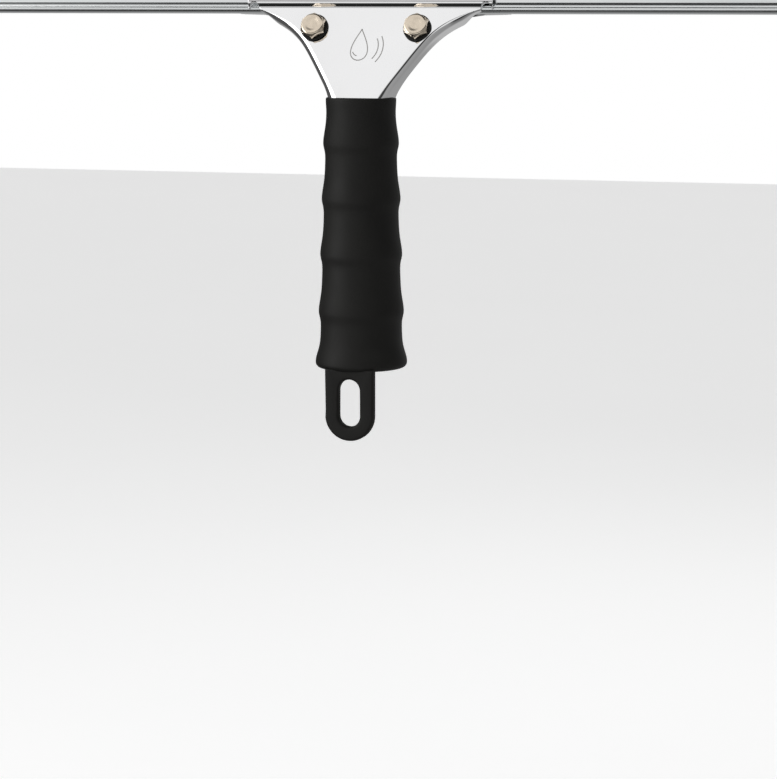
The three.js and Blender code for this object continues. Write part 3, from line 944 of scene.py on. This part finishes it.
def blade_rubber(colours):
    """Soft satin rubber with faint drawing lines along the blade."""
    finish = Finish("blade_rubber")
    lines = finish.noise(800, 2, 0.5, (0.02, 1, 1), 7.7)
    bloom = finish.noise(90, 4, 0.6, (0.5, 1, 1), 1.1)
    finish.set(Specular_IOR_Level=0.45)
    finish.feed(finish.shader.inputs["Base Color"], finish.tint(
        finish.ramp(bloom, 0, 1), colours.blade_rubber, shade(colours.blade_rubber, 1.9)))
    finish.feed(finish.shader.inputs["Roughness"], finish.ramp(bloom, 0.38, 0.52))
    finish.bump(lines, 0.00001, 0.4)
    return finish.material


def etched_steel(colours):
    """Steel dulled by etching."""
    finish = Finish("etched_steel")
    frost = finish.noise(3000, 3, 0.6, (1, 1, 1), 2.9)
    finish.set(Metallic=0.7)
    finish.feed(finish.shader.inputs["Base Color"], finish.tint(
        finish.ramp(frost, 0, 1), (0.30, 0.29, 0.28), (0.46, 0.45, 0.44)))
    finish.feed(finish.shader.inputs["Roughness"], finish.ramp(frost, 0.45, 0.62))
    return finish.material


def studio_floor(colours):
    finish = Finish("studio_floor")
    cloud = finish.noise(3, 2)
    finish.feed(finish.shader.inputs["Base Color"], finish.tint(
        finish.ramp(cloud, 0, 1), shade(colours.floor, 0.985), colours.floor))
    finish.set(Roughness=0.9, Emission_Color=(1, 1, 1, 1), Emission_Strength=0.42)
    return finish.material


def finished(obj, material, body, slot, *nodes):
    """Dresses a piece, sets it on its body and lets it stand for its nodes."""
    obj.data.materials.clear()
    obj.data.materials.append(material)
    if nodes:
        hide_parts(*nodes)
    if body:
        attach(obj, body)
    return obj


# ---- operators --------------------------------------------------------------------------------
class SQUEEGEE_OT_handle(bpy.types.Operator):
    """Builds the pressed handle with its front jaw and the etched drop."""

    bl_idname = "squeegee.handle"
    bl_label = "Pressed handle"

    def execute(self, context):
        sizes = context.scene.squeegee_sizes
        colours = context.scene.squeegee_colours
        shell = round_edges(build_handle_shell(), sizes.sheet_edge)
        finished(shell, mirror_steel(colours), "handle", "polished_steel", "handle_shell")
        finished(build_etched_drop(), etched_steel(colours), "handle", "polished_steel")
        return {"FINISHED"}


class SQUEEGEE_OT_rear_jaw(bpy.types.Operator):
    """Builds the rear jaw."""

    bl_idname = "squeegee.rear_jaw"
    bl_label = "Rear jaw"

    def execute(self, context):
        jaw = round_edges(build_rear_jaw(), context.scene.squeegee_sizes.sheet_edge)
        finished(jaw, mirror_steel(context.scene.squeegee_colours), "rear_jaw", "polished_steel", "rear_jaw")
        return {"FINISHED"}


class SQUEEGEE_OT_fasteners(bpy.types.Operator):
    """Builds the two bolts, washers and nuts."""

    bl_idname = "squeegee.fasteners"
    bl_label = "Bolts, washers and nuts"

    def execute(self, context):
        nickel = warm_nickel(context.scene.squeegee_colours)
        # The washers take the black moulded rubber. The washers are real, but their black is painted shade:
        # it stands for the dark ring round each bolt head.
        rubber = moulded_rubber(context.scene.squeegee_colours, context.scene.squeegee_sizes.moulding_grain)
        for side, word in ((-1, "left"), (1, "right")):
            finished(build_bolt(side, word), nickel, f"{word}_bolt", "warm_nickel", f"{word}_bolt")
            finished(build_washer(side, word), rubber, "handle", "moulded_rubber", f"{word}_washer")
            finished(build_nut(side, word), nickel, "rear_jaw", "warm_nickel", f"{word}_nut")
        return {"FINISHED"}


class SQUEEGEE_OT_grip(bpy.types.Operator):
    """Builds the rubber grip and the hang loop moulded on to it."""

    bl_idname = "squeegee.grip"
    bl_label = "Grip and hang loop"

    def execute(self, context):
        sizes = context.scene.squeegee_sizes
        rubber = moulded_rubber(context.scene.squeegee_colours, sizes.moulding_grain)
        finished(build_grip(), rubber, "handle", "moulded_rubber", "grip_sleeve")
        loop = finished(build_hang_loop(), rubber, None, "moulded_rubber", "hang_loop")
        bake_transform(loop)
        return {"FINISHED"}


class SQUEEGEE_OT_channel(bpy.types.Operator):
    """Builds the channel and its two end clips."""

    bl_idname = "squeegee.channel"
    bl_label = "Channel and end clips"

    def execute(self, context):
        sizes = context.scene.squeegee_sizes
        steel = rolled_steel(context.scene.squeegee_colours)
        channel = round_edges(build_channel(), sizes.folded_edge)
        finished(channel, steel, "channel", "channel_steel", "channel")
        for side, word in ((-1, "left"), (1, "right")):
            clip = round_edges(build_end_clip(side, word), sizes.folded_edge)
            finished(clip, steel, f"{word}_end_clip", "channel_steel", f"{word}_end_clip")
        return {"FINISHED"}


class SQUEEGEE_OT_blade(bpy.types.Operator):
    """Builds the rubber blade."""

    bl_idname = "squeegee.blade"
    bl_label = "Rubber blade"

    def execute(self, context):
        finished(build_blade(), blade_rubber(context.scene.squeegee_colours), "blade", "blade_rubber",
                 "rubber_blade")
        return {"FINISHED"}


# ---- the studio -------------------------------------------------------------------------------
FLOOR_DROP = 0.35
FLOOR_HALF = 6.0


def add_floor(colours):
    """A wide pale floor below the tool, which the polished steel doesn't mirror."""
    half = FLOOR_HALF
    level = -FLOOR_DROP / MM
    edges = ((-half, -half), (half, -half), (half, half), (-half, half))
    points = [(x / MM, y / MM, level) for x, y in edges]
    floor = new_object("studio_floor", points, [(0, 1, 2, 3)])
    floor.data.materials.append(studio_floor(colours))
    floor.visible_glossy = False


def add_light(name, place, target, size, power):
    light = bpy.data.lights.new(name, "AREA")
    light.shape = "RECTANGLE"
    light.size, light.size_y = size
    light.energy = power
    lamp = bpy.data.objects.new(name, light)
    bpy.context.collection.objects.link(lamp)
    lamp.location = place
    lamp.rotation_euler = (Vector(target) - Vector(place)).to_track_quat("-Z", "Y").to_euler()
    return lamp


OVERHEAD = ((0.84, 0.95), (0.91, 0.06), (1.0, 0.06))
FRONT_STUDIO = (
    (-1.0, 0.2), (-0.9, 0.2), (-0.78, 0.02), (-0.58, 0.02), (-0.46, 0.75), (-0.1, 0.9), (0.1, 0.9),
    (0.17, 0.03), (0.38, 0.03), (0.5, 0.93), *OVERHEAD)
RIGHT_STUDIO = ((-1.0, 0.28), (-0.45, 0.3), (0.1, 0.36), (0.17, 0.05), (0.38, 0.05), (0.5, 0.93), *OVERHEAD)
BACK_STUDIO = ((-1.0, 0.5), (-0.65, 0.5), (-0.5, 0.33), (0.1, 0.36), (0.25, 0.06), (1.0, 0.06))
LEFT_STUDIO = ((-1.0, 0.08), (0.36, 0.1), (0.5, 0.93), *OVERHEAD)


def add_world():
    """A studio all round: bright panels in front and above, dark gaps between them, grey sides."""
    world = bpy.data.worlds.new("studio")
    bpy.context.scene.world = world
    world.use_nodes = True
    tree = world.node_tree
    nodes = tree.nodes
    nodes.clear()

    def linked(kind, *values, **settings):
        made = nodes.new(kind)
        for key, value in settings.items():
            setattr(made, key, value)
        for socket, value in zip(made.inputs, values):
            if isinstance(value, bpy.types.NodeSocket):
                tree.links.new(value, socket)
            elif value is not None:
                socket.default_value = value
        return made.outputs[0]

    def rise(value, low, high):
        return linked("ShaderNodeMapRange", value, low, high, 0.0, 1.0, interpolation_type="SMOOTHSTEP")

    def graded(up, stops):
        share = linked("ShaderNodeMapRange", up, -1.0, 1.0, 0.0, 1.0)
        ramp = nodes.new("ShaderNodeValToRGB")
        tree.links.new(share, ramp.inputs[0])
        elements = ramp.color_ramp.elements
        elements.remove(elements[1])
        for index, (height, level) in enumerate(stops):
            stop = elements[0] if index == 0 else elements.new((height + 1) / 2)
            stop.position = (height + 1) / 2
            stop.color = (level, level, level, 1)
        return ramp.outputs["Color"]

    way = nodes.new("ShaderNodeSeparateXYZ")
    tree.links.new(nodes.new("ShaderNodeTexCoord").outputs["Generated"], way.inputs[0])
    across, back, up = way.outputs

    def over(share, under, stops):
        mixed = nodes.new("ShaderNodeMix")
        mixed.data_type = "RGBA"
        tree.links.new(share, mixed.inputs["Factor"])
        tree.links.new(under, mixed.inputs["A"])
        tree.links.new(graded(up, stops), mixed.inputs["B"])
        return mixed.outputs["Result"]

    studio = over(rise(across, 0.4, 0.56), graded(up, FRONT_STUDIO), RIGHT_STUDIO)
    studio = over(rise(back, -0.05, 0.35), studio, BACK_STUDIO)
    studio = over(rise(across, -0.45, -0.7), studio, LEFT_STUDIO)
    seen = nodes.new("ShaderNodeLightPath").outputs["Is Camera Ray"]
    shown = nodes.new("ShaderNodeMix")
    shown.data_type = "RGBA"
    tree.links.new(seen, shown.inputs["Factor"])
    tree.links.new(studio, shown.inputs["A"])
    shown.inputs["B"].default_value = (1, 1, 1, 1)
    background = nodes.new("ShaderNodeBackground")
    tree.links.new(shown.outputs["Result"], background.inputs["Color"])
    tree.links.new(background.outputs[0], nodes.new("ShaderNodeOutputWorld").inputs[0])


def add_camera(sizes):
    """Stands the camera to the tool's right, level with the channel, looking a little down."""
    turn = sizes.eye_azimuth
    place = Vector((math.sin(turn), -math.cos(turn), 0)) * sizes.eye_distance
    place.z = sizes.eye_height
    right = Vector((math.cos(turn), math.sin(turn), 0))
    aim = right * 0.0116 + Vector((0, 0, -0.010))
    metres_per_width = 0.43 * MM * 777
    camera = bpy.data.cameras.new("camera")
    camera.sensor_width = 36
    camera.lens = camera.sensor_width * (aim - place).length / metres_per_width
    camera.clip_start = 0.01
    eye = bpy.data.objects.new("camera", camera)
    bpy.context.collection.objects.link(eye)
    eye.location = place
    eye.rotation_euler = (aim - place).to_track_quat("-Z", "Y").to_euler()
    bpy.context.scene.camera = eye


class SQUEEGEE_OT_stage(bpy.types.Operator):
    """Sets up the floor, the lights, the surroundings and the camera."""

    bl_idname = "squeegee.stage"
    bl_label = "Studio"

    def execute(self, context):
        add_floor(context.scene.squeegee_colours)
        add_world()
        add_light("key", (-1.1, -0.7, 0.3), (0, 0, 0.05), (0.9, 1.3), 9)
        add_light("back", (0.3, 1.1, 0.8), (0, 0, 0.1), (0.9, 0.6), 3)
        bpy.context.scene.view_settings.view_transform = "Standard"
        add_camera(context.scene.squeegee_sizes)
        return {"FINISHED"}


OPERATORS = (
    SQUEEGEE_OT_handle, SQUEEGEE_OT_rear_jaw, SQUEEGEE_OT_fasteners, SQUEEGEE_OT_grip,
    SQUEEGEE_OT_channel, SQUEEGEE_OT_blade, SQUEEGEE_OT_stage)


class SQUEEGEE_PT_panel(bpy.types.Panel):
    """Lists the squeegee's settings and pieces."""

    bl_idname = "SQUEEGEE_PT_panel"
    bl_label = "Squeegee"
    bl_space_type = "VIEW_3D"
    bl_region_type = "UI"
    bl_category = "Squeegee"

    def draw(self, context):
        for group in (context.scene.squeegee_sizes, context.scene.squeegee_colours):
            for name in group.__annotations__:
                self.layout.prop(group, name)
        for operator in OPERATORS:
            self.layout.operator(operator.bl_idname)


CLASSES = (SqueegeeSizes, SqueegeeColours, *OPERATORS, SQUEEGEE_PT_panel)


def register():
    for made in CLASSES:
        bpy.utils.register_class(made)
    bpy.types.Scene.squeegee_sizes = bpy.props.PointerProperty(type=SqueegeeSizes)
    bpy.types.Scene.squeegee_colours = bpy.props.PointerProperty(type=SqueegeeColours)


def unregister():
    del bpy.types.Scene.squeegee_colours
    del bpy.types.Scene.squeegee_sizes
    for made in reversed(CLASSES):
        bpy.utils.unregister_class(made)


def main():
    register()
    for operator in OPERATORS:
        section, action = operator.bl_idname.split(".")
        getattr(getattr(bpy.ops, section), action)()
    bpy.context.view_layer.update()


if __name__ == "__main__":
    main()
